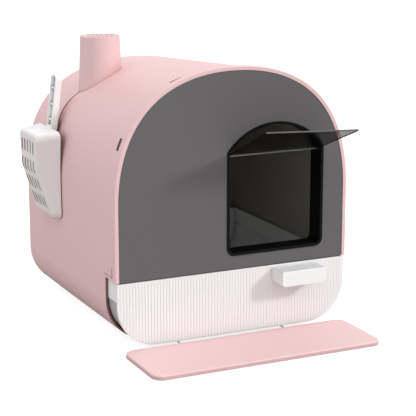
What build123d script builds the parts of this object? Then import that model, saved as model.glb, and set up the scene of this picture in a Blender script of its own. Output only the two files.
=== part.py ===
from build123d import *
from math import cos, hypot, radians, sin
import os

# Covered litter box: an arched shell with a flap door, a litter drawer, a filter chimney, a scoop
# and a step. Millimetres. x runs to the right of the front, y to the back, z up. The origin is on
# the floor, under the middle of the shell.

# Shell
rim_width = 416
body_depth = 432
spring_height = 236
rim_rise = 212
ridge_drop = 29
side_flare = 2.5
arch_share = 0.64
wall = 3.4
rim_proud = 2.5
rim_depth = 12
rim_face = 7
rim_round = 1.5
foot_height = 4
corner_radius = 75
rear_round = 14
bay_depth = 48
recess_depth = 1
recess_front = 66
recess_waist = 22
recess_neck_drop = 7
recess_shoulder_rise = 64
recess_bottom_drop = 57
recess_reach = 31
seam_width = 8
seam_depth = 2.6
panel_bottom = 117

# Fits shared by all pieces
overrun = 4
seat_gap = 0.3
slide_gap = 1
turn_gap = 0.06

# Front panel and its snap clips
panel_plate = 3
panel_recess = 0.6
panel_gap = 0.3
skirt_wall = 2.5
skirt_depth = 32
skirt_inset = 2
clip_length = 20
clip_width = 9
clip_setback = 24
clip_gap = 0.7
clip_root = 8
clip_sink = 1.4
clip_shares = (0.3, 0.72)
latch_front = 20
latch_length = 34
latch_height = 17
latch_rise = 5
latch_slit = 1
latch_slit_wide = 2

# Door frame, flap and hinge
door_side_gap = 50
door_half = 83.5
door_sill_rise = 27
door_jamb = 166
door_arch = 40
door_corner = 9
frame_wall = 2.5
frame_lip = 2
frame_lip_thickness = 1.5
frame_depth = 35
nose_length = 5
nose_reach = 1.4
nose_height = 14
nose_shares = (0.2, 0.7)
hinge_drop = 7
hinge_setback = 9
hinge_rod_radius = 2
barrel_radius = 3.6
flap_gap = 1.5
flap_length = 140
flap_plate = 2.6
flap_corner = 4
flap_raise = 23

# Chimney, filter and lock ring
chimney_inset = 93.9
chimney_y = 76
chimney_rise = 24
chimney_top_radius = 34
chimney_foot_radius = 38.7
chimney_foot_drop = 13.7
chimney_bore = 30
spigot_radius = 35.5
spigot_length = 10
lug_height = 4
lug_reach = 2
lug_count = 3
lug_width = 12
cap_radius = 32.1
cap_plate = 2.5
cap_recess = 1.2
cap_skirt = 32
cap_skirt_wall = 1.5
vent_radius = 2
vent_ring_radii = (7, 14, 21)
vent_ring_counts = (6, 12, 18)
grid_plate = 2
ring_radius = 43
ring_drop = 8

# Scoop and its hanger
scoop_y = 81
scoop_gap = 1.1
scoop_top_share = 0.2652
scoop_length = 151
scoop_knee_drop = 64
scoop_depth = 39.5
scoop_tip_depth = 11.5
scoop_top_half = 60
scoop_tip_half = 56
scoop_waist = 4.5
scoop_back_top_half = 46
scoop_back_tip_half = 36.5
scoop_back_drop = 4.5
scoop_corner = 12
scoop_round = 7
scoop_wall = 2.5
slot_width = 6
slot_length = 22.5
slot_pitch = 14.2
slot_columns = 5
slot_drops = (29.5, 62)
slot_slope_shares = (0.336, 0.69)
grip_width = 26
grip_depth = 10.8
grip_length = 90
grip_lean = 7.4
grip_round = 9
grip_wall = 3
grip_channel = 6
grip_rib = 2.5
grip_rib_drop = 1.5
grip_rib_shares = (0.142, 0.433, 0.743)
grip_set_in = 10.2
neck_set_in = 8.5
neck_reach = 6
neck_height = 7
catch_drop = 6
catch_width = 20
catch_wall = 3
catch_set_in = 7
hanger_plate = 1.2
hanger_front_reach = 13
hanger_rear_reach = 65
hanger_margin = 8.5
hanger_corner = 8
hook_width = 30
hook_plate = 3
hook_lip = 5
hook_root = 30
peg_radius = 4
peg_shares = (0.13, 0.21)
peg_offset = 47
hanger_screw_radius = 1.6
hanger_screw_cover = 0.8
hanger_screw_head = 6
hanger_screw_head_height = 2.2

# Litter drawer
front_inset = 3
front_lift = 4.5
front_gap = 1.5
front_corner_inset = 6
front_plate = 3
ridge_pitch = 5.3
ridge_width = 3
ridge_height = 0.4
ridge_margin = 1.5
tray_inset = 8.5
band_inset = 6.6
band_height = 33
tray_lift = 2.6
tray_corner_inset = 6.5
tray_wall = 3
tray_rear_gap = 36
runner_x = 90
runner_width = 7
pull_side_gap = 59
pull_width = 80
pull_drop = 3.5
pull_height = 25
pull_reach = 38
pull_wall = 2.6
pull_corner = 6
pull_edge = 1.2
pull_boss_radius = 4.2
pull_boss_length = 14
pull_boss_inset = 16
pull_boss_sink = 1
pull_screw_radius = 1.7
pull_screw_length = 17
pull_screw_head = 4
pull_screw_head_height = 2.6

# Step, its rails and pads, and the feet
step_inset = 8
step_front_reach = 138
step_back_gap = 6.5
step_top = 8
step_pad = 1
step_corner = 18
step_edge = 2
rail_radius = 1
rail_x = 95
rail_height = 2.7
rail_socket = 30
rail_length = 180
guide_length = 60
guide_wall = 3
guide_lift = 1.2
keel_width = 24
keel_length = 240
pad_radius = 7
pad_inset = 24
foot_radius = 9
foot_x = 118
foot_inset = 48

# Places that follow from the sizes above
front_y = -body_depth / 2
rear_y = body_depth / 2
rim_half = rim_width / 2
panel_half = rim_half - rim_face
panel_rise = rim_rise - rim_face
floor_top = foot_height + wall
face_y = front_y + panel_recess
door_offset = rim_half - door_side_gap - door_half
door_sill = panel_bottom + door_sill_rise
door_spring = door_sill + door_jamb
door_top = door_spring + door_arch
hinge_y = front_y + hinge_setback
hinge_height = door_spring - hinge_drop
front_half = rim_half - front_inset
front_bottom = foot_height + front_lift
front_top = panel_bottom - front_gap
front_corner = corner_radius - front_corner_inset
tray_half = rim_half - tray_inset
tray_band_half = rim_half - band_inset
tray_bottom = floor_top + tray_lift
tray_step = front_top - band_height
tray_corner = corner_radius - tray_corner_inset
tray_length = body_depth - tray_rear_gap
pull_left = rim_half - pull_side_gap - pull_width
pull_top = front_top - pull_drop
pull_bottom = pull_top - pull_height
step_half = rim_half - step_inset

os.makedirs("parts", exist_ok=True)


def half_at(y):
    """Half of the shell's outer width at depth y, which flares a little to the back."""
    return rim_half - rim_proud + side_flare * (y - front_y) / body_depth


def rise_at(y):
    """Height of the shell's ridge over the spring line at depth y, which falls to the back."""
    return rim_rise - rim_proud - ridge_drop * (y - front_y) / body_depth


def arch_poles(half, rise, side):
    """Control points of one half of the arch, from its spring line up to the ridge."""
    ridge = spring_height + rise
    return ((side * half, spring_height), (side * half, spring_height + arch_share * rise),
            (side * half * arch_share, ridge), (0, ridge))


def arch_plane(y, side, share):
    """Plane on the shell's surface at a share of the way up one half of the arch, facing outward."""
    with BuildLine(Plane.XZ.offset(-y)) as arch:
        Bezier(*arch_poles(half_at(y), rise_at(y), side))
    along = arch.line % share
    return Plane(origin=arch.line @ share, x_dir=along, z_dir=along.cross(Vector(0, 1, 0)) * -side)


def roof_over(x, y):
    """Height of the shell's outside over a point of the plan."""
    with BuildLine(Plane.XZ.offset(-y)) as arch:
        Bezier(*arch_poles(half_at(y), rise_at(y), -1))
    with BuildLine() as plumb:
        Line((x, y, spring_height), (x, y, spring_height + rim_rise))
    return arch.line.edge().intersect(plumb.line.edge())[0].Z


def arch_section(y, half, rise, bottom):
    """Arch with straight sides and a square bottom, across the box at depth y."""
    with BuildSketch(Plane.XZ.offset(-y)) as section:
        with BuildLine():
            Bezier(*arch_poles(half, rise, -1))
            Bezier(*arch_poles(half, rise, 1))
            Polyline((half, spring_height), (half, bottom), (-half, bottom), (-half, spring_height))
        make_face()
    return section.sketch


def shell_section(y, grow):
    """Whole cross-section of the shell at depth y, moved outward by grow."""
    half, rise = half_at(y) + grow, rise_at(y) + grow
    bottom, corner = foot_height - grow, corner_radius + grow
    with BuildSketch(Plane.XZ.offset(-y)) as section:
        with BuildLine():
            Bezier(*arch_poles(half, rise, -1))
            Bezier(*arch_poles(half, rise, 1))
            Line((half, spring_height), (half, bottom + corner))
            TangentArc((half, bottom + corner), (half - corner, bottom), tangent=(0, -1))
            Line((half - corner, bottom), (corner - half, bottom))
            TangentArc((corner - half, bottom), (-half, bottom + corner), tangent=(-1, 0))
            Line((-half, bottom + corner), (-half, spring_height))
        make_face()
    return section.sketch


def shell_form(grow, lead=0):
    """Solid form of the shell moved outward by grow, with a rounded back, begun lead ahead of the front."""
    with BuildPart() as form:
        loft([shell_section(front_y - lead, grow), shell_section(rear_y + grow, grow)], ruled=True)
        fillet(form.faces().sort_by(Axis.Y)[-1].edges(), rear_round + grow)
    return form.part


def door_section(y, grow):
    """Door opening across the panel at depth y, moved outward by grow."""
    left, right = door_offset - door_half - grow, door_offset + door_half + grow
    sill, corner = door_sill - grow, door_corner + grow
    with BuildSketch(Plane.XZ.offset(-y)) as section:
        with BuildLine():
            ThreePointArc((left, door_spring), (door_offset, door_top + grow), (right, door_spring))
            Line((right, door_spring), (right, sill + corner))
            TangentArc((right, sill + corner), (right - corner, sill), tangent=(0, -1))
            Line((right - corner, sill), (left + corner, sill))
            TangentArc((left + corner, sill), (left, sill + corner), tangent=(-1, 0))
            Line((left, sill + corner), (left, door_spring))
        make_face()
    return section.sketch


def chimney_turned(outline):
    """Solid turned about the chimney's axis from an outline of radius and height pairs."""
    with BuildPart() as turned:
        with BuildSketch(Plane(origin=(chimney_x, chimney_y, 0), x_dir=(1, 0, 0), z_dir=(0, -1, 0))):
            with BuildLine():
                Polyline(*outline, close=True)
            make_face()
        revolve(axis=Axis((chimney_x, chimney_y, 0), (0, 0, 1)))
    return turned.part


def upright_ring(outer, inner, bottom, top):
    """Ring about the chimney's axis."""
    return chimney_turned(((inner, bottom), (outer, bottom), (outer, top), (inner, top)))


def drawer_section(y, half, bottom, corner, top):
    """Drawer cross-section with rounded lower corners and a flat top, at depth y."""
    with BuildSketch(Plane.XZ.offset(-y)) as section:
        with BuildLine():
            Line((-half, top), (half, top))
            Line((half, top), (half, bottom + corner))
            TangentArc((half, bottom + corner), (half - corner, bottom), tangent=(0, -1))
            Line((half - corner, bottom), (corner - half, bottom))
            TangentArc((corner - half, bottom), (-half, bottom + corner), tangent=(-1, 0))
            Line((-half, bottom + corner), (-half, top))
        make_face()
    return section.sketch


# Places on the flank and the roof that follow the arch
chimney_x = chimney_inset - rim_half
chimney_top = spring_height + rim_rise + chimney_rise
chimney_foot = roof_over(chimney_x - chimney_foot_radius, chimney_y) - chimney_foot_drop
ring_bottom = chimney_foot - ring_drop
spigot_bottom = ring_bottom - spigot_length
scoop_mouth_x = -half_at(scoop_y) - scoop_gap
scoop_top = arch_plane(scoop_y, -1, scoop_top_share).origin.Z
scoop_tip = scoop_top - scoop_length
scoop_knee = scoop_top - scoop_knee_drop
peg_y = scoop_y + peg_offset

# Side view of the shallow recess for the scoop: an arched front edge, open to the back
with BuildPart() as recess_side:
    with BuildSketch(Plane.YZ.offset(-rim_half - overrun)):
        with BuildLine():
            neck_z = scoop_top - recess_neck_drop
            shoulder_z = scoop_top + recess_shoulder_rise
            recess_bottom = scoop_top - recess_bottom_drop
            recess_rear = rear_y + overrun
            ThreePointArc((recess_front, neck_z), (recess_front + recess_waist, (neck_z + shoulder_z) / 2),
                          (recess_front, shoulder_z))
            Polyline((recess_front, shoulder_z), (recess_front, chimney_top), (recess_rear, chimney_top),
                     (recess_rear, recess_bottom), (recess_front, recess_bottom), (recess_front, neck_z))
        make_face()
    extrude(amount=rim_half + overrun + chimney_x + recess_reach)

# Side view of the crescent seam, which deepens the recess along its arched edge
with BuildPart() as seam_side:
    with BuildSketch(Plane.YZ.offset(-rim_half - overrun)):
        with BuildLine():
            edge_z, waist_y = (neck_z + shoulder_z) / 2, recess_front + recess_waist
            ThreePointArc((recess_front, neck_z), (waist_y, edge_z), (recess_front, shoulder_z))
            ThreePointArc((recess_front, shoulder_z), (waist_y + seam_width, edge_z),
                          (recess_front, neck_z))
        make_face()
    extrude(amount=rim_half + overrun + chimney_x)

with BuildPart() as scoop_seam:
    add(shell_form(overrun))
    add(seam_side.part, mode=Mode.INTERSECT)
    add(shell_form(-seam_depth), mode=Mode.SUBTRACT)

with BuildPart() as scoop_recess:
    add(shell_form(overrun))
    add(recess_side.part, mode=Mode.INTERSECT)
    add(shell_form(-recess_depth), mode=Mode.SUBTRACT)
    foot_clear, top_clear = chimney_foot_radius + slide_gap, chimney_top_radius + slide_gap
    add(chimney_turned(((0, spigot_bottom), (foot_clear, spigot_bottom), (foot_clear, chimney_foot),
                        (top_clear, chimney_top), (0, chimney_top))), mode=Mode.SUBTRACT)

# Proud front rim, with the opening that takes the panel
with BuildPart() as rim:
    extrude(arch_section(front_y, rim_half, rim_rise, panel_bottom), amount=-rim_depth)
    fillet(rim.faces().sort_by(Axis.Y)[0].edges().sort_by(Axis.Z)[1:], rim_round)
    extrude(arch_section(front_y - overrun, panel_half + panel_gap, panel_rise + panel_gap,
                         panel_bottom - overrun), amount=-(rim_depth + 2 * overrun), mode=Mode.SUBTRACT)

# House shell: arched roof, sides, back and floor in one moulding
with BuildPart() as house_shell:
    add(shell_form(0))
    add(shell_form(-wall, overrun), mode=Mode.SUBTRACT)
    with BuildSketch(Plane.XY.offset(panel_bottom)):
        with Locations((0, front_y + bay_depth / 2 - overrun)):
            Rectangle(rim_width + overrun, bay_depth + 2 * overrun)
    extrude(amount=-panel_bottom, mode=Mode.SUBTRACT)
    add(rim.part)
    add(scoop_recess.part, mode=Mode.SUBTRACT)
    add(scoop_seam.part, mode=Mode.SUBTRACT)
    for side in (-1, 1):
        for share in clip_shares:
            with BuildSketch(arch_plane(front_y + clip_setback, side, share)):
                Rectangle(clip_length, clip_width)
            extrude(amount=2 * wall, both=True, mode=Mode.SUBTRACT)
    slit_z = panel_bottom + latch_rise
    for side in (-1, 1):
        with BuildSketch(Plane.YZ.offset(side * half_at(front_y))):
            with Locations((front_y + latch_front, slit_z + latch_height / 2)):
                Rectangle(latch_slit_wide, latch_height)
            with Locations((front_y + latch_front + latch_length / 2, slit_z)):
                Rectangle(latch_length, latch_slit)
        extrude(amount=2 * wall, both=True, mode=Mode.SUBTRACT)
    with BuildSketch(Plane.XY.offset(ring_bottom)):
        with Locations((chimney_x, chimney_y)):
            Circle(spigot_radius + seat_gap)
    extrude(amount=chimney_top - ring_bottom, mode=Mode.SUBTRACT)
    for share in peg_shares:
        with BuildSketch(arch_plane(peg_y, -1, share)):
            Circle(peg_radius + seat_gap)
        extrude(amount=2 * wall, both=True, mode=Mode.SUBTRACT)
    runner_front = front_y + bay_depth
    runner_length = rear_y - rear_round - wall - runner_front
    with BuildSketch(Plane.XY.offset(floor_top - wall / 2)):
        with Locations((0, runner_front + runner_length / 2)):
            with GridLocations(2 * runner_x, 0, 2, 1):
                Rectangle(runner_width, runner_length)
    extrude(amount=tray_bottom - seat_gap - floor_top + wall / 2)
    guide_x = rail_radius + slide_gap + guide_wall / 2
    with BuildSketch(Plane.XY.offset(guide_lift)):
        for middle in (-rail_x, rail_x):
            with Locations((middle, runner_front + guide_length / 2)):
                with GridLocations(2 * guide_x, 0, 2, 1):
                    Rectangle(guide_wall, guide_length)
    extrude(amount=foot_height - guide_lift + wall / 2)
    with BuildSketch(Plane.XY):
        Rectangle(keel_width, keel_length)
    extrude(amount=foot_height + wall / 2)
house_shell.part.label = "house_shell"
export_step(house_shell.part, "parts/house_shell.step")

# Front panel: flat plate with a skirt behind it, whose clips snap into the shell's windows
with BuildPart() as front_panel:
    extrude(arch_section(face_y, panel_half, panel_rise, panel_bottom), amount=-panel_plate)
    skirt_half, skirt_rise = panel_half - skirt_inset, panel_rise - skirt_inset
    extrude(arch_section(face_y, skirt_half, skirt_rise, panel_bottom), amount=-skirt_depth)
    extrude(arch_section(face_y + panel_plate, skirt_half - skirt_wall, skirt_rise - skirt_wall,
                         panel_bottom + skirt_wall), amount=-skirt_depth, mode=Mode.SUBTRACT)
    for side in (-1, 1):
        for share in clip_shares:
            with BuildSketch(arch_plane(front_y + clip_setback, side, share).offset(-clip_root)):
                Rectangle(clip_length - 2 * clip_gap, clip_width - 2 * clip_gap)
            extrude(amount=clip_root - clip_sink)
    extrude(door_section(face_y - overrun, frame_wall + panel_gap), amount=-(panel_plate + 2 * overrun),
            mode=Mode.SUBTRACT)
front_panel.part.label = "front_panel"
export_step(front_panel.part, "parts/front_panel.step")

# Door frame: tunnel through the panel with a thin lip in front and snap noses behind the plate
with BuildPart() as door_frame:
    lip_y = face_y - frame_lip_thickness
    extrude(door_section(lip_y, frame_wall + frame_lip), amount=-frame_lip_thickness)
    extrude(door_section(lip_y, frame_wall), amount=-frame_depth)
    nose_y = face_y + panel_plate + seat_gap + nose_length / 2
    nose_x = door_half + frame_wall
    with Locations(*[(door_offset + side * nose_x, nose_y, door_sill + (door_spring - door_sill) * share)
                     for side in (-1, 1) for share in nose_shares]):
        Box(2 * nose_reach, nose_length, nose_height)
    extrude(door_section(lip_y - overrun, 0), amount=-(frame_depth + 2 * overrun), mode=Mode.SUBTRACT)
    with Locations((door_offset, hinge_y, hinge_height)):
        Cylinder(hinge_rod_radius + turn_gap, 2 * nose_x + overrun, rotation=(0, 90, 0),
                 mode=Mode.SUBTRACT)
door_frame.part.label = "door_frame"
export_step(door_frame.part, "parts/door_frame.step")

# Door flap: tinted plate on a barrel, drawn in its raised rest place against the frame's shoulders
flap_width = 2 * (door_half - flap_gap)
flap_plane = Plane(origin=(door_offset, hinge_y, hinge_height), x_dir=(1, 0, 0),
                   z_dir=(0, -sin(radians(flap_raise)), -cos(radians(flap_raise))))
with BuildPart() as door_flap:
    with BuildSketch(flap_plane):
        with Locations((0, flap_length / 2)):
            Rectangle(flap_width, flap_length)
    extrude(amount=flap_plate / 2, both=True)
    across = Axis((0, 0, 0), flap_plane.z_dir)
    fillet(door_flap.edges().filter_by(across).sort_by(Axis.Y)[:2], flap_corner)
    with Locations((door_offset, hinge_y, hinge_height)):
        Cylinder(barrel_radius, flap_width, rotation=(0, 90, 0))
        Cylinder(hinge_rod_radius + turn_gap, flap_width + overrun, rotation=(0, 90, 0),
                 mode=Mode.SUBTRACT)
door_flap.part.label = "door_flap"
export_step(door_flap.part, "parts/door_flap.step")

# Hinge rod: runs through the barrel into both jambs
with BuildPart() as hinge_rod:
    with Locations((door_offset, hinge_y, hinge_height)):
        Cylinder(hinge_rod_radius, 2 * (door_half + frame_wall - seat_gap), rotation=(0, 90, 0))
hinge_rod.part.label = "hinge_rod"
export_step(hinge_rod.part, "parts/hinge_rod.step")

# Chimney tube: tapered outside, cut to the roof, with a spigot and snap lugs that go through it
ledge_z = chimney_top - cap_recess - cap_plate
spigot_top = chimney_top - cap_skirt
with BuildPart() as chimney_tube:
    add(chimney_turned(((0, chimney_foot), (chimney_foot_radius, chimney_foot),
                        (chimney_top_radius, chimney_top), (0, chimney_top))))
    add(shell_form(seat_gap), mode=Mode.SUBTRACT)
    add(chimney_turned(((0, spigot_bottom), (spigot_radius, spigot_bottom),
                        (spigot_radius, spigot_top), (0, spigot_top))))
    with Locations((chimney_x, chimney_y, ring_bottom - seat_gap - lug_height / 2)):
        with PolarLocations(spigot_radius, lug_count):
            Box(2 * lug_reach, lug_width, lug_height)
    bore_bottom, mouth_top = spigot_bottom - overrun, chimney_top + overrun
    mouth_radius = cap_radius + seat_gap
    add(chimney_turned(((0, bore_bottom), (chimney_bore, bore_bottom), (chimney_bore, ledge_z),
                        (mouth_radius, ledge_z), (mouth_radius, mouth_top), (0, mouth_top))),
        mode=Mode.SUBTRACT)
chimney_tube.part.label = "chimney_tube"
export_step(chimney_tube.part, "parts/chimney_tube.step")

# Lock ring: collar under the roof that the lugs hold, cut to the roof's slope
with BuildPart() as chimney_lock_ring:
    add(upright_ring(ring_radius, spigot_radius + seat_gap, ring_bottom, chimney_top))
    add(shell_form(-wall - seat_gap), mode=Mode.INTERSECT)
chimney_lock_ring.part.label = "chimney_lock_ring"
export_step(chimney_lock_ring.part, "parts/chimney_lock_ring.step")

# Chimney cap: pierced lid in the tube's mouth, with a skirt that holds the filter
cap_bottom = ledge_z + seat_gap
skirt_radius = chimney_bore - slide_gap / 2
skirt_bottom = cap_bottom - cap_skirt
with BuildPart() as chimney_cap:
    add(chimney_turned(((0, cap_bottom), (cap_radius, cap_bottom), (cap_radius, cap_bottom + cap_plate),
                        (0, cap_bottom + cap_plate))))
    add(upright_ring(skirt_radius, skirt_radius - cap_skirt_wall, skirt_bottom,
                     cap_bottom + cap_plate / 2))
    with BuildSketch(Plane.XY.offset(cap_bottom)):
        with Locations((chimney_x, chimney_y)):
            Circle(vent_radius)
            for radius, count in zip(vent_ring_radii, vent_ring_counts):
                with PolarLocations(radius, count):
                    Circle(vent_radius)
    extrude(amount=cap_plate + overrun, mode=Mode.SUBTRACT)
chimney_cap.part.label = "chimney_cap"
export_step(chimney_cap.part, "parts/chimney_cap.step")

# Filter grid: pierced disc pressed into the lower end of the cap's skirt
grid_radius = skirt_radius - cap_skirt_wall - seat_gap
with BuildPart() as filter_grid:
    with BuildSketch(Plane.XY.offset(skirt_bottom)):
        with Locations((chimney_x, chimney_y)):
            Circle(grid_radius)
            for radius, count in zip(vent_ring_radii, vent_ring_counts):
                with PolarLocations(radius, count):
                    Circle(vent_radius, mode=Mode.SUBTRACT)
    extrude(amount=grid_plate)
filter_grid.part.label = "filter_grid"
export_step(filter_grid.part, "parts/filter_grid.step")

# Carbon filter: round pad between the grid and the lid
with BuildPart() as carbon_filter:
    pad_bottom = skirt_bottom + grid_plate + seat_gap
    with BuildSketch(Plane.XY.offset(pad_bottom)):
        with Locations((chimney_x, chimney_y)):
            Circle(grid_radius)
    extrude(amount=cap_bottom - seat_gap - pad_bottom)
carbon_filter.part.label = "carbon_filter"
export_step(carbon_filter.part, "parts/carbon_filter.step")

# Scoop hanger: thin plate in the recess, with pegs into the shell and a hook for the scoop
catch_x = scoop_mouth_x + catch_set_in
catch_bottom = scoop_top - neck_height - catch_drop
hook_top = catch_bottom - seat_gap
hook_end = catch_x - catch_wall - slide_gap - hook_plate
hanger_screw_length = wall + 2 * seat_gap - recess_depth + hanger_plate - hanger_screw_cover
hanger_top = hook_top + hanger_margin
hanger_bottom = arch_plane(peg_y, -1, peg_shares[0]).origin.Z - hanger_margin
hanger_front, hanger_rear = scoop_y - hanger_front_reach, scoop_y + hanger_rear_reach
with BuildPart() as hanger_side:
    with BuildSketch(Plane.YZ.offset(-rim_half - hanger_plate - overrun)):
        with Locations(((hanger_front + hanger_rear) / 2, (hanger_bottom + hanger_top) / 2)):
            RectangleRounded(hanger_rear - hanger_front, hanger_top - hanger_bottom, hanger_corner)
    extrude(amount=rim_half)

with BuildPart() as scoop_hanger:
    add(shell_form(seat_gap + hanger_plate - recess_depth))
    add(hanger_side.part, mode=Mode.INTERSECT)
    with Locations(((hook_end - hook_root) / 2, scoop_y, hook_top - hook_plate / 2)):
        Box(abs(hook_end) - hook_root, hook_width, hook_plate)
    with Locations((hook_end + hook_plate / 2, scoop_y, hook_top)):
        Box(hook_plate, hook_width, 2 * hook_lip)
    add(shell_form(seat_gap - recess_depth), mode=Mode.SUBTRACT)
    for share in peg_shares:
        peg_plane = arch_plane(peg_y, -1, share).offset(-wall)
        with BuildSketch(peg_plane):
            Circle(peg_radius)
        extrude(amount=wall - recess_depth + seat_gap + hanger_plate / 2)
        with BuildSketch(peg_plane):
            Circle(hanger_screw_radius + turn_gap)
        extrude(amount=hanger_screw_length, mode=Mode.SUBTRACT)
scoop_hanger.part.label = "scoop_hanger"
export_step(scoop_hanger.part, "parts/scoop_hanger.step")

# Hanger screws: driven from inside the shell into the pegs
with BuildPart() as hanger_screws:
    for share in peg_shares:
        head_plane = arch_plane(peg_y, -1, share).offset(-wall - seat_gap)
        with BuildSketch(head_plane):
            Circle(hanger_screw_radius)
        extrude(amount=hanger_screw_length)
        with BuildSketch(head_plane):
            Circle(hanger_screw_head)
        extrude(amount=-hanger_screw_head_height)
hanger_screws.part.label = "hanger_screws"
export_step(hanger_screws.part, "parts/hanger_screws.step")

# Scoop: pierced bowl with its mouth to the flank, and a channelled grip
mouth_plane = Plane(origin=(scoop_mouth_x, scoop_y, 0), x_dir=(0, -1, 0), z_dir=(-1, 0, 0))


def scoop_outline(depth, top_half, tip_half, top, tip, corner):
    """Waisted outline of the bowl in a plane at some depth outside its mouth."""
    with BuildSketch(mouth_plane.offset(depth)) as outline:
        with BuildLine():
            middle = (top_half + tip_half) / 2 - scoop_waist
            Line((-top_half, top), (top_half, top))
            ThreePointArc((top_half, top), (middle, (top + tip) / 2), (tip_half, tip))
            Line((tip_half, tip), (-tip_half, tip))
            ThreePointArc((-tip_half, tip), (-middle, (top + tip) / 2), (-top_half, top))
        make_face()
        fillet(outline.vertices(), corner)
    return outline.sketch


def scoop_form(inset):
    """Solid form of the bowl, moved inward by inset on all sides but its mouth."""
    top, tip, corner = scoop_top - inset, scoop_tip + inset, scoop_corner - inset
    back, tip_back = scoop_mouth_x - scoop_depth + inset, scoop_mouth_x - scoop_tip_depth + inset
    with BuildPart() as form:
        loft([scoop_outline(0, scoop_top_half - inset, scoop_tip_half - inset, top, tip, corner),
              scoop_outline(scoop_depth, scoop_back_top_half - inset, scoop_back_tip_half - inset,
                            top - scoop_back_drop, tip + scoop_back_drop, corner)], ruled=True)
        with BuildSketch(Plane.XZ.offset(-scoop_y)):
            with BuildLine():
                Polyline((scoop_mouth_x, top), (back, top), (back, scoop_knee), (tip_back, tip),
                         (scoop_mouth_x, tip), close=True)
            make_face()
        extrude(amount=scoop_top_half, both=True, mode=Mode.INTERSECT)
        outer_x = scoop_mouth_x - scoop_round
        outer_edges = form.edges().filter_by(lambda edge: edge.bounding_box().max.X < outer_x)
        fillet(outer_edges, scoop_round - inset)
    return form.part


with BuildPart() as scoop:
    add(scoop_form(0))
    add(scoop_form(scoop_wall), mode=Mode.SUBTRACT)
    with BuildSketch(mouth_plane.offset(scoop_depth)):
        for drop in slot_drops:
            with Locations((0, scoop_top - drop)):
                with GridLocations(slot_pitch, 0, slot_columns, 1):
                    SlotOverall(slot_length, slot_width, rotation=90)
    extrude(amount=2 * scoop_wall, both=True, mode=Mode.SUBTRACT)
    slope_fall, slope_in = scoop_knee - scoop_tip, scoop_depth - scoop_tip_depth
    slope = hypot(slope_fall, slope_in)
    slope_plane = Plane(origin=(scoop_mouth_x - scoop_depth, scoop_y, scoop_knee), x_dir=(0, -1, 0),
                        z_dir=(-slope_fall, 0, -slope_in))
    with BuildSketch(slope_plane):
        for share in slot_slope_shares:
            with Locations((0, -slope * share)):
                with GridLocations(slot_pitch, 0, slot_columns, 1):
                    SlotOverall(slot_length, slot_width, rotation=90)
    extrude(amount=2 * scoop_wall, both=True, mode=Mode.SUBTRACT)
    neck_bottom = scoop_top - neck_height
    neck_x = scoop_mouth_x + (neck_set_in - neck_reach) / 2
    with Locations((neck_x, scoop_y, neck_bottom + neck_height / 2)):
        Box(neck_set_in + neck_reach, grip_width, neck_height)
    with Locations((catch_x - catch_wall / 2, scoop_y, catch_bottom + (catch_drop + neck_height) / 2)):
        Box(catch_wall, catch_width, catch_drop + neck_height)
    lean = radians(grip_lean)
    grip_plane = Plane(origin=(scoop_mouth_x + grip_set_in, scoop_y, scoop_top), x_dir=(0, -1, 0),
                       z_dir=(-cos(lean), 0, sin(lean)))
    with BuildSketch(grip_plane) as grip_view:
        with Locations((0, (grip_length - scoop_wall) / 2)):
            Rectangle(grip_width, grip_length + scoop_wall)
        fillet(grip_view.vertices().sort_by(Axis.Y)[-2:], grip_round)
    extrude(amount=grip_depth)
    with BuildSketch(grip_plane.offset(grip_depth)) as channel_view:
        with Locations((0, grip_length / 2)):
            Rectangle(grip_width - 2 * grip_wall, grip_length - 2 * grip_wall)
        fillet(channel_view.vertices().sort_by(Axis.Y)[-2:], grip_round - grip_wall)
    extrude(amount=-grip_channel, mode=Mode.SUBTRACT)
    with BuildSketch(grip_plane.offset(grip_depth - grip_channel)):
        with Locations(*[(0, grip_length * share) for share in grip_rib_shares]):
            Rectangle(grip_width - grip_wall, grip_rib)
    extrude(amount=grip_channel - grip_rib_drop)
scoop.part.label = "scoop"
export_step(scoop.part, "parts/scoop.step")

# Litter tray: tub with rounded lower corners and a wider band at its rim
tray_y = front_y + front_plate
screw_z = pull_top - pull_wall - pull_boss_radius + pull_boss_sink
screw_insets = (pull_boss_inset, pull_width - pull_boss_inset)
screw_places = [(pull_left + inset, screw_z) for inset in screw_insets]
with BuildPart() as litter_tray:
    extrude(drawer_section(tray_y, tray_half, tray_bottom, tray_corner, front_top), amount=-tray_length)
    with BuildSketch(Plane.XZ.offset(-tray_y)):
        with Locations((0, tray_step + band_height / 2)):
            Rectangle(2 * tray_band_half, band_height)
    extrude(amount=-tray_length)
    extrude(drawer_section(tray_y + tray_wall, tray_half - tray_wall, tray_bottom + tray_wall,
                           tray_corner - tray_wall, front_top + overrun),
            amount=-(tray_length - 2 * tray_wall), mode=Mode.SUBTRACT)
    with BuildSketch(Plane.XZ.offset(-tray_y - tray_wall)):
        with Locations((0, tray_step + tray_wall + band_height / 2)):
            Rectangle(2 * (tray_band_half - tray_wall), band_height)
    extrude(amount=-(tray_length - 2 * tray_wall), mode=Mode.SUBTRACT)
    with BuildSketch(Plane.XZ.offset(-tray_y)):
        with Locations(*screw_places):
            Circle(pull_screw_radius + seat_gap)
    extrude(amount=-tray_wall, mode=Mode.SUBTRACT)
litter_tray.part.label = "litter_tray"
export_step(litter_tray.part, "parts/litter_tray.step")

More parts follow.
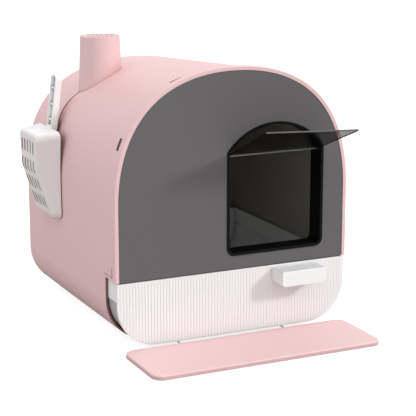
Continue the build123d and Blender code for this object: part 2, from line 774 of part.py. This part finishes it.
# Drawer front: plate with fine upright ridges
with BuildPart() as drawer_front:
    extrude(drawer_section(front_y, front_half, front_bottom, front_corner, front_top),
            amount=-front_plate)
    with BuildSketch(Plane.XZ.offset(-front_y)):
        add(drawer_section(front_y, front_half - ridge_margin, front_bottom + ridge_margin,
                           front_corner - ridge_margin, front_top - ridge_margin))
        ridge_count = int(2 * (front_half - ridge_margin) / ridge_pitch)
        with GridLocations(ridge_pitch, 0, ridge_count, 1):
            Rectangle(ridge_width, 2 * front_top, mode=Mode.INTERSECT)
    extrude(amount=ridge_height)
    with BuildSketch(Plane.XZ.offset(-front_y + ridge_height)):
        with Locations(*screw_places):
            Circle(pull_screw_radius + seat_gap)
    extrude(amount=-(front_plate + ridge_height), mode=Mode.SUBTRACT)
drawer_front.part.label = "drawer_front"
export_step(drawer_front.part, "parts/drawer_front.step")

# Drawer handle: hollow pull, open below, with two screw bosses
pull_y = front_y - ridge_height
pull_out = pull_reach - ridge_height
with BuildPart() as drawer_handle:
    with BuildSketch(Plane.XZ.offset(-pull_y)) as pull_view:
        with Locations((pull_left + pull_width / 2, (pull_bottom + pull_top) / 2)):
            Rectangle(pull_width, pull_top - pull_bottom)
        fillet(pull_view.vertices().sort_by(Axis.Y)[:2], pull_corner)
    extrude(amount=pull_out)
    fillet(drawer_handle.faces().sort_by(Axis.Z)[-1].edges().sort_by(Axis.Y)[:-1], pull_edge)
    with BuildSketch(Plane.XZ.offset(-pull_y)):
        with Locations((pull_left + pull_width / 2, pull_top - pull_wall - pull_top / 2)):
            Rectangle(pull_width - 2 * pull_wall, pull_top)
    extrude(amount=pull_out - pull_wall, mode=Mode.SUBTRACT)
    with BuildSketch(Plane.XZ.offset(-pull_y)):
        with Locations(*screw_places):
            Circle(pull_boss_radius)
    extrude(amount=pull_boss_length)
    with BuildSketch(Plane.XZ.offset(-pull_y)):
        with Locations(*screw_places):
            Circle(pull_screw_radius + turn_gap)
    extrude(amount=pull_boss_length - pull_wall, mode=Mode.SUBTRACT)
drawer_handle.part.label = "drawer_handle"
export_step(drawer_handle.part, "parts/drawer_handle.step")

# Handle screws: driven from inside the tray
with BuildPart() as handle_screws:
    with BuildSketch(Plane.XZ.offset(-tray_y - tray_wall - seat_gap)):
        with Locations(*screw_places):
            Circle(pull_screw_radius)
    extrude(amount=pull_screw_length)
    with BuildSketch(Plane.XZ.offset(-tray_y - tray_wall - seat_gap)):
        with Locations(*screw_places):
            Circle(pull_screw_head)
    extrude(amount=-pull_screw_head_height)
handle_screws.part.label = "handle_screws"
export_step(handle_screws.part, "parts/handle_screws.step")

# Step: flat plate in front of the drawer, with two sockets in its back edge for the rails
step_depth = step_front_reach - step_back_gap
step_back = front_y - step_back_gap
step_y = step_back - step_depth / 2
with BuildPart() as step_pedal:
    with BuildSketch(Plane.XY.offset(step_pad)):
        with Locations((0, step_y)):
            RectangleRounded(2 * step_half, step_depth, step_corner)
    extrude(amount=step_top - step_pad)
    fillet(step_pedal.faces().sort_by(Axis.Z)[-1].edges(), step_edge)
    with BuildSketch(Plane.XZ.offset(-step_back)):
        with Locations((0, rail_height)):
            with GridLocations(2 * rail_x, 0, 2, 1):
                Circle(rail_radius + turn_gap)
    extrude(amount=rail_socket + seat_gap, mode=Mode.SUBTRACT)
step_pedal.part.label = "step_pedal"
export_step(step_pedal.part, "parts/step_pedal.step")

# Step rails: two wires pressed into the step, which run between the guides under the floor
with BuildPart() as step_rails:
    with BuildSketch(Plane.XZ.offset(rail_socket - step_back)):
        with Locations((0, rail_height)):
            with GridLocations(2 * rail_x, 0, 2, 1):
                Circle(rail_radius)
    extrude(amount=-(rail_socket + rail_length))
step_rails.part.label = "step_rails"
export_step(step_rails.part, "parts/step_rails.step")

# Pads under the step
with BuildPart() as pedal_pads:
    with BuildSketch(Plane.XY):
        with Locations((0, step_y)):
            with GridLocations(2 * (step_half - pad_inset), step_depth - 2 * pad_inset, 2, 2):
                Circle(pad_radius)
    extrude(amount=step_pad)
pedal_pads.part.label = "pedal_pads"
export_step(pedal_pads.part, "parts/pedal_pads.step")

# Rubber feet under the shell's floor
with BuildPart() as rubber_feet:
    with BuildSketch(Plane.XY):
        with Locations((0, bay_depth / 2)):
            with GridLocations(2 * foot_x, body_depth - bay_depth - 2 * foot_inset, 2, 2):
                Circle(foot_radius)
    extrude(amount=foot_height)
rubber_feet.part.label = "rubber_feet"
export_step(rubber_feet.part, "parts/rubber_feet.step")
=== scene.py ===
from math import cos, pi, radians, sin, tan

import bmesh
import bpy
from mathutils import Matrix, Vector


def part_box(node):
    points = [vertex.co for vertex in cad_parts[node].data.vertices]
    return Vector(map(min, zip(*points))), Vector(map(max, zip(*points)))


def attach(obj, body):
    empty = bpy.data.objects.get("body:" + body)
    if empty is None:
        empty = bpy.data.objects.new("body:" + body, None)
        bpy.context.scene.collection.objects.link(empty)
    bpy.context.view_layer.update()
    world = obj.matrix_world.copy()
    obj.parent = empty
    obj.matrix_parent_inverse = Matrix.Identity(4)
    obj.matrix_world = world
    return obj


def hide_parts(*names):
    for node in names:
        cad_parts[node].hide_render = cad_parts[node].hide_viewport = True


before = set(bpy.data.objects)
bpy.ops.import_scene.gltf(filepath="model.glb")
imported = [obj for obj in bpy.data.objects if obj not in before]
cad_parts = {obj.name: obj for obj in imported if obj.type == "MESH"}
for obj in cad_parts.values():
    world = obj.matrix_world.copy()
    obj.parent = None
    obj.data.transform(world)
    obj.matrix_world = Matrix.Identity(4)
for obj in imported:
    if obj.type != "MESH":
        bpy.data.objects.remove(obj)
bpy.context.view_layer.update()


# House shell. Roof, flanks, back and floor are one injection moulding of satin pink plastic with a
# fine eroded skin. It stands on its keel and feet, and every other piece is fixed to it.
class Shade:
    """One output in a material's node tree. Sums and products of it add Math nodes."""

    def __init__(self, tree, socket):
        self.tree = tree
        self.socket = socket

    def make(self, kind, settings, sockets, output=0):
        """Adds a node: its settings first, then the value or link of each socket."""
        node = self.tree.nodes.new(kind)
        for name, value in settings.items():
            setattr(node, name, value)
        for name, value in sockets.items():
            if isinstance(value, Shade):
                self.tree.links.new(value.socket, node.inputs[name])
            else:
                node.inputs[name].default_value = value
        return Shade(self.tree, node.outputs[output])

    def into(self, node, name):
        """Feeds a socket of another node."""
        self.tree.links.new(self.socket, node.inputs[name])

    def math(self, operation, first, second):
        return self.make("ShaderNodeMath", {"operation": operation}, {0: first, 1: second})

    def __add__(self, other):
        return self.math("ADD", self, other)

    __radd__ = __add__

    def __sub__(self, other):
        return self.math("SUBTRACT", self, other)

    def __rsub__(self, other):
        return self.math("SUBTRACT", other, self)

    def __mul__(self, other):
        return self.math("MULTIPLY", self, other)

    __rmul__ = __mul__

    def root(self):
        return self.make("ShaderNodeMath", {"operation": "SQRT"}, {0: self})

    def axis(self, name):
        """One component of a vector."""
        return self.make("ShaderNodeSeparateXYZ", {}, {"Vector": self}, name)

    def dot(self, other):
        return self.make("ShaderNodeVectorMath", {"operation": "DOT_PRODUCT"}, {0: self, 1: other}, "Value")

    def beside(self, axis_x, axis_y):
        """Distance of a place from an upright axis."""
        axis = (axis_x, axis_y, 0)
        away = self.make("ShaderNodeVectorMath", {"operation": "SUBTRACT"}, {0: self, 1: axis})
        across = away.make("ShaderNodeVectorMath", {"operation": "MULTIPLY"}, {0: away, 1: (1, 1, 0)})
        return across.make("ShaderNodeVectorMath", {"operation": "LENGTH"}, {0: across}, "Value")

    def above(self, level, width):
        """0 below a level and 1 above it, over a soft step of that width."""
        return self.make("ShaderNodeMapRange", {"interpolation_type": "SMOOTHSTEP"},
                         {"Value": self, "From Min": level - width / 2, "From Max": level + width / 2})

    def below(self, level, width):
        """1 below a level and 0 above it, over a soft step of that width."""
        return 1 - self.above(level, width)

    def noise(self, scale, detail, stretch=(1, 1, 1)):
        """Noise of about one cell per 1/scale metres, drawn out along an axis by a small stretch."""
        mapped = self.make("ShaderNodeMapping", {}, {"Vector": self, "Scale": stretch})
        return self.make("ShaderNodeTexNoise", {}, {"Vector": mapped, "Scale": scale, "Detail": detail})

    def crowded(self, distance):
        """How much of the air within a distance is taken by other surfaces: 0.5 in a square corner."""
        air = self.make("ShaderNodeAmbientOcclusion", {"samples": 8}, {"Distance": distance}, "AO")
        return 1 - air

    def blend(self, first, second):
        """First colour where this value is 0, second where it is 1."""
        return self.make("ShaderNodeMix", {"data_type": "RGBA"}, {0: self, 6: first, 7: second}, 2)

    def bump(self, surface, height, strength, under=None):
        """Raises the surface by this value, which stands for up to that height in metres."""
        sockets = {"Height": self, "Distance": height, "Strength": strength}
        if under:
            sockets["Normal"] = under
        self.make("ShaderNodeBump", {}, sockets).into(surface, "Normal")


def paint(red, green, blue):
    """Linear colour of a paint chip that is given in 8-bit steps."""
    steps = (red / 255, green / 255, blue / 255)
    return tuple(s / 12.92 if s < 0.04045 else ((s + 0.055) / 1.055) ** 2.4 for s in steps) + (1.0,)


def place_on(material):
    """The place on a piece, in the piece's own frame."""
    return Shade(material.node_tree, material.node_tree.nodes.new("ShaderNodeTexCoord").outputs["Object"])


def facing_on(material):
    """The way the surface of a piece faces, in the piece's own frame."""
    return Shade(material.node_tree, material.node_tree.nodes.new("ShaderNodeTexCoord").outputs["Normal"])


def new_finish(name):
    """A bare material, its surface node, and the place on the piece that wears it."""
    material = bpy.data.materials.new(name)
    material.use_nodes = True
    return material, material.node_tree.nodes["Principled BSDF"], place_on(material)


def moulded(name, deep, light, worn, crevice_shade, dull, roughness, shine=0.35, skin=1500.0, edge=0.0009,
            film=0.5, gap=0.012, full=0.58):
    """Moulded plastic, whose tint drifts from deep to light with the flow under a fine eroded skin.

    Rubbed edges turn to the worn colour. Painted shade darkens what lies sheltered, laid on as a film
    by its share, and a darker painted shade fills crevices, where other surfaces take more than the full
    share of the air within a gap's width.
    """
    material, surface, place = new_finish(name)
    flow = (1, 1, 0.25)
    sheltered = 0.05
    skin_height = 0.00006
    drift = place.noise(6.0, 3.0, flow)
    grain = place.noise(skin, 3.0)
    smudge = place.noise(23.0, 4.0)
    soft = place.make("ShaderNodeBevel", {"samples": 6}, {"Radius": edge})
    true = place.make("ShaderNodeNewGeometry", {}, {}, "True Normal")
    wear = (1 - soft.dot(true)).above(0.12, 0.2) * smudge.above(0.5, 0.3)
    tint = wear.blend(drift.blend(deep, light), worn)
    # Painted shade: sheltered places get a darker film, and crevices a darker colour still.
    shaded = (place.crowded(sheltered).above(0.45, 0.5) * film).blend(tint, dull)
    place.crowded(gap).above(full, 0.2).blend(shaded, crevice_shade).into(surface, "Base Color")
    (roughness + (grain - 0.5) * 0.12 + (smudge - 0.5) * 0.1 + wear * 0.1).into(surface, "Roughness")
    surface.inputs["Specular IOR Level"].default_value = shine
    grain.bump(surface, skin_height, strength=0.35, under=soft)
    return material


def cover(material, mask, colour):
    """Lays a film of another colour over a finish, where the mask says."""
    surface = material.node_tree.nodes["Principled BSDF"]
    under = Shade(material.node_tree, surface.inputs["Base Color"].links[0].from_socket)
    mask.blend(under, colour).into(surface, "Base Color")


def dress(material, *nodes):
    """Gives CAD nodes their finish."""
    for node in nodes:
        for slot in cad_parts[node].material_slots:
            slot.material = material


pink_finish = {
    "deep": paint(233, 194, 194),
    "light": paint(237, 199, 199),
    "worn": paint(246, 217, 216),
    # The two darker pinks below are painted shade, for crevices and for sheltered places.
    "crevice_shade": paint(116, 58, 58),
    "dull": paint(148, 76, 76),
    "roughness": 0.45,
    "shine": 0.6,
}
inside_shade = paint(158, 158, 149)
bay_shade = paint(150, 92, 92)
cabin_front = -0.19
cabin_back = 0.19
arch_middle = Vector((0, 0, 0.22))
wall_reach = 0.04
unshaded_radius = 0.05
bay_top = 0.116
shell_pink = moulded("shell_pink", **pink_finish, full=0.45)
place = place_on(shell_pink)
facing = facing_on(shell_pink)
forward = 0 - facing.axis("Y")

# Inside, the walls are painted grey as painted shade: an inner wall looks towards the middle line of the
# arch, an outer one away.
towards_middle = facing.dot(arch_middle) - facing.dot(place) + facing.axis("Y") * place.axis("Y")
back_wall = forward.above(0.5, 0.2) * place.axis("Y").above(cabin_back, 0.01)
deep_inside = place.axis("Y").above(cabin_front, 0.004)
inner_walls = (towards_middle.above(wall_reach, 0.05) + back_wall) * deep_inside
cover(shell_pink, inner_walls * (0.8 + 0.2 * place.noise(30.0, 4.0)), inside_shade)

# The roof round the foot of the chimney keeps its light pink, free of the finish's painted shade.
low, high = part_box("chimney_tube")
chimney_foot = place.beside((low.x + high.x) / 2, (low.y + high.y) / 2).below(unshaded_radius, 0.006)
cover(shell_pink, chimney_foot * facing.axis("Z").above(0.3, 0.2), pink_finish["light"])

# The front edges of the flanks beside the drawer are painted darker, as painted shade from the drawer
# front.
bay_edge = forward.above(0.8, 0.2) * place.axis("Z").below(bay_top, 0.001)
cover(shell_pink, bay_edge * (1 - back_wall), bay_shade)
dress(shell_pink, "house_shell")


# Rubber feet. Four round pads of black rubber, glued under the floor of the shell, which keep it from
# sliding and stand as high as its keel.
def rubber(name):
    """Dull rubber with fine talc in its pores."""
    material, surface, place = new_finish(name)
    pore_depth = 0.0002
    pores = place.noise(900.0, 4.0)
    talc = place.noise(60.0, 5.0).above(0.58, 0.16)
    talc.blend(paint(22, 22, 23), paint(58, 57, 56)).into(surface, "Base Color")
    (0.82 + (pores - 0.5) * 0.2).into(surface, "Roughness")
    pores.bump(surface, pore_depth, strength=0.5)
    return material


black_rubber = rubber("black_rubber")
dress(black_rubber, "rubber_feet")

# Front panel. A flat plate of dark grey plastic that closes the arch inside the proud rim, and snaps
# into four windows of the shell with the clips on its skirt.
# The two darkest greys are painted shade, for crevices and for sheltered places.
grey = moulded("grey_satin", deep=paint(103, 101, 102), light=paint(106, 104, 105),
               worn=paint(124, 122, 123), crevice_shade=paint(60, 59, 59), dull=paint(84, 82, 82),
               roughness=0.7, shine=0.15, skin=1100.0, edge=0.0008)
dress(grey, "front_panel")

# Door frame. A black tunnel with a thin lip, pushed through the panel from the front until its noses
# snap in behind the plate.
# The two darkest blacks are painted shade, for crevices and for sheltered places.
black = moulded("black_satin", deep=paint(5, 5, 5), light=paint(8, 8, 8), worn=paint(26, 26, 26),
                crevice_shade=paint(3, 3, 3), dull=paint(5, 5, 5), roughness=0.5, shine=0.15, skin=1300.0,
                edge=0.0006)
dress(black, "door_frame")


# Hinge rod. A straight length of drawn steel wire that carries the flap. It runs through the flap's
# barrel into both jambs of the door frame.
def drawn_steel(name, along):
    """Bright steel with fine lines along the axis by which it was drawn."""
    material, surface, place = new_finish(name)
    line_depth = 0.00003
    stretch = tuple(0.02 if axis == along else 1 for axis in "XYZ")
    lines = place.noise(2600.0, 3.0, stretch)
    stain = place.noise(70.0, 4.0)
    stain.blend(paint(186, 187, 189), paint(150, 149, 147)).into(surface, "Base Color")
    surface.inputs["Metallic"].default_value = 1.0
    (0.22 + (lines - 0.5) * 0.3).into(surface, "Roughness")
    lines.bump(surface, line_depth, strength=0.4)
    return material


dress(drawn_steel("drawn_steel", "X"), "hinge_rod")


# Flap. A clear sheet tinted with smoke, moulded in one with the barrel that it hangs by, and a little
# warped by its gate. Its free edge is painted light grey as a painted highlight, and its right edge brown
# for the pink rim seen through it, as painted light. Its faces have rubbed streaks, and the barrel is
# thin enough to show the rod.
def add_piece(name, mesh, material, node, body):
    """Makes the mesh a piece that stands for a CAD node and rides on its body."""
    data = bpy.data.meshes.new(name)
    mesh.to_mesh(data)
    mesh.free()
    data.materials.append(material)
    piece = bpy.data.objects.new(name, data)
    bpy.context.scene.collection.objects.link(piece)
    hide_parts(node)
    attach(piece, body)
    return piece


def raise_faces(mesh, faces, way):
    """Extrudes faces along a vector."""
    made = bmesh.ops.extrude_face_region(mesh, geom=faces)["geom"]
    corners = [part for part in made if isinstance(part, bmesh.types.BMVert)]
    bmesh.ops.translate(mesh, verts=corners, vec=way)


low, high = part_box("door_flap")
flap_width = high.x - low.x
flap_length = 0.140
flap_plate = 0.0026
flap_corner = 0.004
flap_edge = 0.0004
flap_raise = radians(23)
flap_warp = tan(radians(1.6))
barrel_radius = 0.0036
barrel_bore = 0.0021
nearly = 0.99
sharp_angle = radians(60)
low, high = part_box("hinge_rod")
hinge = (low + high) / 2
flap_out = Vector((0, -cos(flap_raise), sin(flap_raise)))
flap_under = Vector((0, -sin(flap_raise), -cos(flap_raise)))
flap_frame = Matrix(((1, 0, 0), flap_out, flap_under)).transposed().to_4x4()
flap_frame.translation = hinge
plate_start = (barrel_bore + barrel_radius) / 2
plate_length = flap_length - plate_start
flap = bmesh.new()
bmesh.ops.create_grid(flap, x_segments=16, y_segments=12, size=0.5)
bmesh.ops.scale(flap, verts=flap.verts[:], vec=(flap_width, plate_length, 1))
bmesh.ops.translate(flap, verts=flap.verts[:], vec=(0, plate_start + plate_length / 2, -flap_plate / 2))
free_row = [v for v in flap.verts if v.co.y > flap_length * nearly]
free_corners = [v for v in free_row if abs(v.co.x) > flap_width / 2 * nearly]
bmesh.ops.bevel(flap, geom=free_corners, affect="VERTICES", offset=flap_corner, segments=6, profile=0.5,
                material=-1)
bmesh.ops.solidify(flap, geom=flap.faces[:], thickness=-flap_plate)
bmesh.ops.recalc_face_normals(flap, faces=flap.faces[:])
sharp = [e for e in flap.edges if e.calc_face_angle(0) > sharp_angle]
bmesh.ops.bevel(flap, geom=sharp, affect="EDGES", offset=flap_edge, segments=2, profile=0.5, material=-1)
for corner in flap.verts:
    corner.co.z += flap_warp * corner.co.x / (flap_width / 2) * corner.co.y
left_end = Matrix.Translation((-flap_width / 2, 0, 0)) @ Matrix.Rotation(pi / 2, 4, "Y")
rings = []
for radius in (barrel_radius, barrel_bore):
    ring = bmesh.ops.create_circle(flap, segments=40, radius=radius, matrix=left_end)
    rings += list({edge for v in ring["verts"] for edge in v.link_edges})
raise_faces(flap, bmesh.ops.bridge_loops(flap, edges=rings)["faces"], (flap_width, 0, 0))
bmesh.ops.recalc_face_normals(flap, faces=flap.faces[:])
bmesh.ops.transform(flap, matrix=flap_frame, verts=flap.verts[:])

smoke_tint = paint(17, 13, 11)
streak_tint = paint(44, 41, 39)
edge_highlight_tint = paint(104, 103, 102)
side_reflection_tint = paint(92, 60, 42)
barrel_tint = paint(7, 7, 7)
barrel_skin = 0.0002
edge_highlight_start = 0.12
side_start = 0.02
side_skin = 0.0006
sheet_wave = 0.0006
smoke, surface, place = new_finish("smoke_sheet")
facing = facing_on(smoke)
reach = place.dot(flap_out) - hinge.dot(flap_out)
depth = place.dot(flap_under) - hinge.dot(flap_under)
side = place.axis("X") - hinge.x
across = facing.dot(flap_under)
rim = (across * across).below(0.5, 0.5)
free_edge = facing.dot(flap_out).above(0.7, 0.3) * reach.above(edge_highlight_start, 0.01)
right_edge = side.above(flap_width / 2 - side_skin, 0.0004) * reach.above(side_start, 0.01)
on_barrel = (reach * reach + depth * depth).root().below(barrel_radius + barrel_skin, 0.0003)
streaks = place.noise(90.0, 5.0, (1, 0.12, 0.12)).above(0.62, 0.12)
# The free edge is painted light grey as a painted highlight.
sheet = free_edge.blend(streaks.blend(smoke_tint, streak_tint), edge_highlight_tint)
# The right edge is painted brown, standing for the pink rim seen through it: painted light.
on_barrel.blend(right_edge.blend(sheet, side_reflection_tint), barrel_tint).into(surface, "Base Color")
((0.62 + rim * 0.36 + streaks * 0.03) * (1 - on_barrel) + on_barrel * 0.1).into(surface, "Alpha")
(0.2 + streaks * 0.25 + free_edge * 0.3).into(surface, "Roughness")
on_barrel.into(surface, "Coat Weight")
surface.inputs["Coat Roughness"].default_value = 0.12
surface.inputs["Specular IOR Level"].default_value = 0.03
place.noise(12.0, 1.0).bump(surface, sheet_wave, strength=0.2)
add_piece("smoke_flap", flap, smoke, "door_flap", "flap")

# Chimney tube. A tapered pink moulding whose foot is cut to the slope of the roof. Its spigot goes
# through the roof and is held from below by the lock ring, which is moulded in white.
white_finish = {
    "deep": paint(243, 243, 243),
    "light": paint(248, 248, 248),
    "worn": paint(252, 252, 252),
    "roughness": 0.42,
}
# Painted shade for white mouldings: grey in crevices, and a grey film laid on strongly in sheltered places.
white_painted_shade = {"crevice_shade": paint(150, 147, 146), "dull": paint(160, 158, 157), "film": 0.8}
chimney_finish = pink_finish | {"deep": paint(231, 196, 196), "light": paint(235, 201, 201)}
white = moulded("white_satin", **white_finish, **white_painted_shade)
dress(moulded("chimney_pink", **chimney_finish, full=0.9), "chimney_tube")
dress(white, "chimney_lock_ring")

# Chimney cap. A pierced pink lid that lies on a ledge in the mouth of the tube. Its skirt holds the
# filter, which a pierced white disc keeps in.
pink = moulded("pink_satin", **pink_finish)
dress(pink, "chimney_cap")
dress(white, "filter_grid")

# Carbon filter. A round pad of black carbon foam that takes up smells. It is cut from a sheet with a
# die, so its rims are rounded a little, and lies in the skirt of the cap.
low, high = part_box("carbon_filter")
filter_middle = (low + high) / 2
filter_radius = (high.x - low.x) / 2
filter_height = high.z - low.z
filter_round = 0.0022
cell_depth = 0.0012
pad = bmesh.new()
bmesh.ops.create_circle(pad, cap_ends=True, segments=64, radius=filter_radius,
                        matrix=Matrix.Translation((filter_middle.x, filter_middle.y, low.z)))
raise_faces(pad, pad.faces[:], (0, 0, filter_height))
bmesh.ops.recalc_face_normals(pad, faces=pad.faces[:])
rims = [e for e in pad.edges if abs(e.verts[0].co.z - e.verts[1].co.z) < filter_height / 2]
bmesh.ops.bevel(pad, geom=rims, affect="EDGES", offset=filter_round, segments=4, profile=0.5, material=-1)
foam, surface, place = new_finish("carbon_foam")
cells = place.make("ShaderNodeTexVoronoi", {}, {"Vector": place, "Scale": 520.0})
clumps = place.noise(160.0, 4.0)
cells.above(0.45, 0.5).blend(paint(18, 18, 19), paint(46, 46, 47)).into(surface, "Base Color")
(0.9 + (clumps - 0.5) * 0.15).into(surface, "Roughness")
(cells + clumps).bump(surface, cell_depth, strength=0.8)
add_piece("carbon_pad", pad, foam, "carbon_filter", "vent")

# Scoop hanger. A thin pink plate with the hook that the scoop hangs on. Its two pegs go through the
# recess in the flank, and steel screws hold them from inside.
dress(pink, "scoop_hanger")
dress(drawn_steel("screw_steel", "Z"), "hanger_screws")

# Scoop. One white moulding: a bowl pierced with rows of slots, and a channelled grip that stands up.
# Its slots, the inside of the bowl and the channel are painted darker, as painted shade.
low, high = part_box("scoop")
bowl_top = 0.319
bowl_inset = 0.022
bowl_hollow = 0.003
lip_fade = 0.006
channel_start = bowl_top + 0.002
channel_depth = 0.006
bowl_inside_shade = paint(178, 160, 154)
channel_shade = paint(210, 208, 207)
# Its crevices and sheltered places are painted dark brown and grey as painted shade.
scoop_white = moulded("scoop_white", deep=paint(237, 230, 229), light=paint(241, 235, 234),
                      worn=paint(250, 248, 248), crevice_shade=paint(84, 70, 67), dull=paint(196, 190, 189),
                      roughness=0.42, film=0.8, gap=0.006, full=0.4)
place = place_on(scoop_white)
facing = facing_on(scoop_white)
bowl_middle = Vector((high.x - bowl_inset, (low.y + high.y) / 2, (low.z + bowl_top) / 2))
over_bowl = place.axis("Z").above(bowl_top - lip_fade, lip_fade)
towards_bowl = facing.dot(bowl_middle) - facing.dot(place)
inside_bowl = towards_bowl.above(bowl_hollow, 0.004) * (1 - over_bowl)
channel = place.axis("Z").above(channel_start, 0.002) * place.crowded(channel_depth).above(0.32, 0.2)
cover(scoop_white, inside_bowl, bowl_inside_shade)
# Above the top of the bowl the scoop is painted a plain light white, lighter than its warm sides and free
# of painted shade: painted light on its top.
cover(scoop_white, over_bowl, white_finish["light"])
cover(scoop_white, channel, channel_shade)
dress(scoop_white, "scoop")

# Litter tray. A white tub that slides on runners in the shell, with a wider band at its rim. Its outer
# sides below the band are painted grey, as painted shade under the band.
low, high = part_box("litter_tray")
band_height = 0.033
side_reach = 0.04
lower_side_shade = paint(186, 186, 185)
tray_white = moulded("tray_white", **white_finish, **white_painted_shade)
place = place_on(tray_white)
facing = facing_on(tray_white)
outer_side = (facing.axis("X") * place.axis("X")).above(side_reach, 0.02)
cover(tray_white, outer_side * place.axis("Z").below(high.z - band_height, 0.0006), lower_side_shade)
dress(tray_white, "litter_tray")

# Drawer front. A white plate with fine upright ridges over its whole face, which hides the end of the
# tray and is welded to it.
# Its two greyer whites are painted shade, in the grooves and sheltered places.
ridged_white = moulded("ridged_white", deep=paint(240, 239, 239), light=paint(245, 244, 244),
                       worn=paint(250, 250, 250), crevice_shade=paint(206, 204, 203), dull=paint(216, 214, 213),
                       roughness=0.42, edge=0.0003, film=0.2)
dress(ridged_white, "drawer_front")

# Drawer pull. A hollow white moulding with two bosses, held by steel screws from inside the tray. Its
# finish takes only a faint film of painted shade in sheltered places.
lightly_shaded_white = moulded("lightly_shaded_white", **white_finish, crevice_shade=paint(190, 188, 187), dull=paint(214, 211, 210),
                      film=0.1)
dress(lightly_shaded_white, "drawer_handle")
dress(drawn_steel("pull_steel", "Y"), "handle_screws")

# Step. A flat pink plate that stands on rubber pads. Two steel wires with a white enamel coat are
# pressed into it, and guide it under the floor of the shell.
step_finish = pink_finish | {"deep": paint(238, 200, 200), "light": paint(241, 204, 204)}
dress(moulded("step_pink", **step_finish), "step_pedal")
dress(black_rubber, "pedal_pads")
run_height = 0.00005
enamel, surface, place = new_finish("white_enamel")
runs = place.noise(500.0, 3.0, (1, 0.05, 1))
place.noise(60.0, 3.0).blend(paint(236, 236, 236), paint(246, 246, 246)).into(surface, "Base Color")
(0.3 + (runs - 0.5) * 0.2).into(surface, "Roughness")
runs.bump(surface, run_height, strength=0.4)
dress(enamel, "step_rails")

# Studio floor. A wide sheet of matt white paper, just under the feet. It glows a little where the camera
# sees it, so it looks as white as the room and still takes a soft shadow.
paper_half = 6.0
paper_drop = 0.0005
paper_glow = 0.85
white_light = (1, 1, 1, 1)
paper, surface, place = new_finish("studio_paper")
place.noise(40.0, 3.0).blend((0.48, 0.48, 0.48, 1), (0.52, 0.52, 0.52, 1)).into(surface, "Base Color")
surface.inputs["Roughness"].default_value = 0.9
surface.inputs["Specular IOR Level"].default_value = 0.0
matt = Shade(paper.node_tree, surface.outputs[0])
glow = place.make("ShaderNodeEmission", {}, {"Color": white_light, "Strength": paper_glow})
lit = place.make("ShaderNodeAddShader", {}, {0: matt, 1: glow})
first_look = place.make("ShaderNodeLightPath", {}, {}, "Is Camera Ray")
seen = place.make("ShaderNodeMixShader", {}, {0: first_look, 1: matt, 2: lit})
seen.into(paper.node_tree.nodes["Material Output"], "Surface")
sheet_mesh = bmesh.new()
bmesh.ops.create_grid(sheet_mesh, x_segments=1, y_segments=1, size=paper_half,
                      matrix=Matrix.Translation((0, 0, -paper_drop)))
floor_data = bpy.data.meshes.new("studio_floor")
sheet_mesh.to_mesh(floor_data)
sheet_mesh.free()
floor_data.materials.append(paper)
studio_floor = bpy.data.objects.new("studio_floor", floor_data)
bpy.context.scene.collection.objects.link(studio_floor)

# White room. A plain white surround whose light on the object is strongest from overhead. The camera
# itself sees it evenly white.
seen_white = 1.1
level_light = 0.62
overhead_light = 0.63
room = bpy.data.worlds.new("white_room")
room.use_nodes = True
sky = room.node_tree.nodes["Background"]
sky.inputs["Color"].default_value = white_light
way = Shade(room.node_tree, room.node_tree.nodes.new("ShaderNodeTexCoord").outputs["Generated"])
overhead = way.make("ShaderNodeMapRange", {}, {"Value": way.axis("Z"), "From Min": 0.0, "From Max": 1.0})
first_look = way.make("ShaderNodeLightPath", {}, {}, "Is Camera Ray")
cast = level_light + overhead_light * overhead
(first_look * seen_white + (1 - first_look) * cast).into(sky, "Strength")
bpy.context.scene.world = room

# Soft lamp. One broad lamp to the upper right of the front, far enough away to count as a sun, which
# draws the flap's and the pull's soft shadows.
lamp_way = Vector((-0.63, 0.60, -0.49))
lamp_breadth = radians(9)
lamp = bpy.data.lights.new("soft_lamp", "SUN")
lamp.energy = 0.4 * pi
lamp.angle = lamp_breadth
lamp_stand = bpy.data.objects.new("soft_lamp", lamp)
lamp_stand.rotation_euler = lamp_way.to_track_quat("-Z", "Y").to_euler()
bpy.context.scene.collection.objects.link(lamp_stand)

# Camera. A long lens in front of the left corner, higher than the chimney and aimed at the panel. The
# picture keeps its plain colours.
camera_place = Vector((-0.9843, -2.1850, 0.7392))
camera_aim = Vector((-0.04753, -0.216, 0.2238))
view = bpy.data.cameras.new("front_left_view")
view.lens = 121.71
view.sensor_width = 36
camera = bpy.data.objects.new("front_left_view", view)
camera.location = camera_place
camera.rotation_euler = (camera_aim - camera_place).to_track_quat("-Z", "Y").to_euler()
bpy.context.scene.collection.objects.link(camera)
bpy.context.scene.camera = camera
bpy.context.scene.view_settings.view_transform = "Standard"
